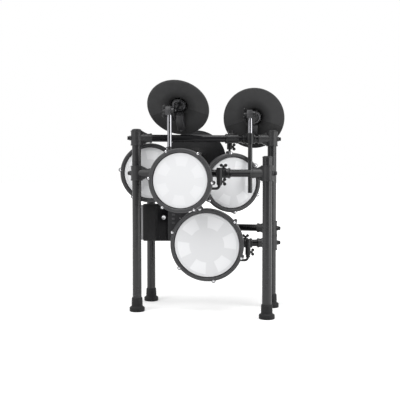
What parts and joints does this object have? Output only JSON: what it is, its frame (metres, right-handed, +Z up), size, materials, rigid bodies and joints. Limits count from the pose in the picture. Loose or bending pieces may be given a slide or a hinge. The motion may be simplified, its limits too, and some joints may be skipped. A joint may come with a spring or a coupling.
{
  "type": "electronic drum kit",
  "caption": "Electronic drum kit with mesh pads, rubber cymbal pads and a sound module on a folding tube rack, folded flat for storage.",
  "frame": {"origin": "floor level under the middle of the folded kit's outline", "axes": "+Z up, +X along the top bar towards the right main post, +Y towards the rear of the folded rack"},
  "size_m": [0.7098, 0.5467, 0.9569],
  "materials": {
    "tube": "satin dark grey powder coat",
    "clamp": "moulded dark grey",
    "bolt": "black oxide",
    "foot": "moulded rubber",
    "hoop": "rubber covered",
    "shell": "moulded black",
    "mesh": "woven white mesh",
    "trigger": "light grey moulding",
    "screw": "chrome plated",
    "holder": "black steel",
    "arm": "chrome plated",
    "tilter": "black steel",
    "cymbal": "moulded rubber",
    "module_case": "textured black",
    "module_panel": "satin black",
    "dial": "spun metal",
    "button": "soft grey key"
  },
  "bodies": {
    "main_frame": {"left_main_post": "tube", "right_main_post": "tube", "top_bar": "tube", "snare_arm": "tube", "main_clamps": "clamp", "main_bolts": "bolt", "main_feet": "foot", "snare_holder": "holder", "right_tom_holder": "holder", "right_cymbal_clamp": "clamp"},
    "left_wing": {"left_wing_post": "tube", "left_wing_bar": "tube", "left_wing_foot": "foot", "left_wing_clamps": "clamp", "left_wing_bolts": "bolt", "centre_tom_holder": "holder", "left_cymbal_clamp": "clamp"},
    "right_wing": {"right_wing_post": "tube", "right_wing_bar": "tube", "right_wing_foot": "foot", "right_wing_clamps": "clamp", "right_wing_bolts": "bolt", "left_tom_holder": "holder", "rear_cymbal_clamp": "clamp", "module_case": "module_case", "module_panel": "module_panel", "module_bracket": "module_case"},
    "centre_tom": {"centre_tom_shell": "shell", "centre_tom_hoop": "hoop", "centre_tom_head": "mesh", "centre_tom_trigger_frame": "trigger", "centre_tom_screws": "screw"},
    "snare": {"snare_shell": "shell", "snare_hoop": "hoop", "snare_head": "mesh", "snare_trigger_frame": "trigger", "snare_screws": "screw"},
    "right_tom": {"right_tom_shell": "shell", "right_tom_hoop": "hoop", "right_tom_head": "mesh", "right_tom_trigger_frame": "trigger", "right_tom_screws": "screw"},
    "left_tom": {"left_tom_shell": "shell", "left_tom_hoop": "hoop", "left_tom_head": "mesh", "left_tom_trigger_frame": "trigger", "left_tom_screws": "screw"},
    "left_arm": {"left_cymbal_arm": "arm"},
    "left_cymbal": {"left_cymbal_tilter": "tilter", "left_cymbal_pad": "cymbal"},
    "right_arm": {"right_cymbal_arm": "arm"},
    "right_cymbal": {"right_cymbal_tilter": "tilter", "right_cymbal_pad": "cymbal"},
    "rear_arm": {"rear_cymbal_arm": "arm"},
    "rear_cymbal": {"rear_cymbal_tilter": "tilter", "rear_cymbal_pad": "cymbal"},
    "dial": {"module_dial": "dial"},
    "button_1": {"module_button_1": "button"},
    "button_2": {"module_button_2": "button"},
    "button_3": {"module_button_3": "button"}
  },
  "joints": [
    {"name": "left_wing_fold", "type": "hinge", "parent": "main_frame", "child": "left_wing", "pos_m": [-0.283, 0, 0], "axis": [0, 0, 1], "range_deg": [-170, 0]},
    {"name": "right_wing_fold", "type": "hinge", "parent": "main_frame", "child": "right_wing", "pos_m": [0.297, 0, 0], "axis": [0, 0, 1], "range_deg": [-95, 0]},
    {"name": "centre_tom_tilt", "type": "hinge", "parent": "left_wing", "child": "centre_tom", "pos_m": [-0.10899, -0.16833, 0.5195], "axis": [0.9511, -0.309, 0], "range_deg": [-18, 25]},
    {"name": "snare_tilt", "type": "hinge", "parent": "main_frame", "child": "snare", "pos_m": [0.04219, -0.00568, 0.21182], "axis": [0.9563, -0.2924, 0], "range_deg": [-6, 20]},
    {"name": "right_tom_tilt", "type": "hinge", "parent": "main_frame", "child": "right_tom", "pos_m": [0.06724, 0.03799, 0.56385], "axis": [0.9877, 0.1564, 0], "range_deg": [-7, 4]},
    {"name": "left_tom_tilt", "type": "hinge", "parent": "right_wing", "child": "left_tom", "pos_m": [-0.21395, 0.11325, 0.581], "axis": [0.989, -0.1478, 0], "range_deg": [-12, 12]},
    {"name": "left_cymbal_height", "type": "slide", "parent": "left_wing", "child": "left_arm", "axis": [0, 0, 1], "range_m": [0, 0.08]},
    {"name": "left_cymbal_tilt", "type": "hinge", "parent": "left_arm", "child": "left_cymbal", "pos_m": [-0.15529, -0.09836, 0.83204], "axis": [0.9272, -0.3746, 0], "range_deg": [-4, 25]},
    {"name": "right_cymbal_height", "type": "slide", "parent": "main_frame", "child": "right_arm", "axis": [0, 0, 1], "range_m": [-0.02, 0.08]},
    {"name": "right_cymbal_tilt", "type": "hinge", "parent": "right_arm", "child": "right_cymbal", "pos_m": [0.19357, -0.03412, 0.82738], "axis": [0.9744, -0.225, 0], "range_deg": [-3, 25]},
    {"name": "rear_cymbal_height", "type": "slide", "parent": "right_wing", "child": "rear_arm", "axis": [0, 0, 1], "range_m": [-0.03, 0.06]},
    {"name": "rear_cymbal_tilt", "type": "hinge", "parent": "rear_arm", "child": "rear_cymbal", "pos_m": [0.01145, 0.1882, 0.65547], "axis": [-0.9877, 0.1564, 0], "range_deg": [-12, 12]},
    {"name": "dial_turn", "type": "hinge", "parent": "right_wing", "child": "dial", "pos_m": [-0.16033, 0.09146, 0.388], "axis": [-0.1513, -0.9885, 0], "range_deg": [-135, 135]},
    {"name": "button_1_press", "type": "slide", "parent": "right_wing", "child": "button_1", "axis": [0.1513, 0.9885, 0], "range_m": [0, 0.0012], "stiffness_N_per_m": 400, "springref_m": -0.001},
    {"name": "button_2_press", "type": "slide", "parent": "right_wing", "child": "button_2", "axis": [0.1513, 0.9885, 0], "range_m": [0, 0.0012], "stiffness_N_per_m": 400, "springref_m": -0.001},
    {"name": "button_3_press", "type": "slide", "parent": "right_wing", "child": "button_3", "axis": [0.1513, 0.9885, 0], "range_m": [0, 0.0012], "stiffness_N_per_m": 400, "springref_m": -0.001}
  ]
}
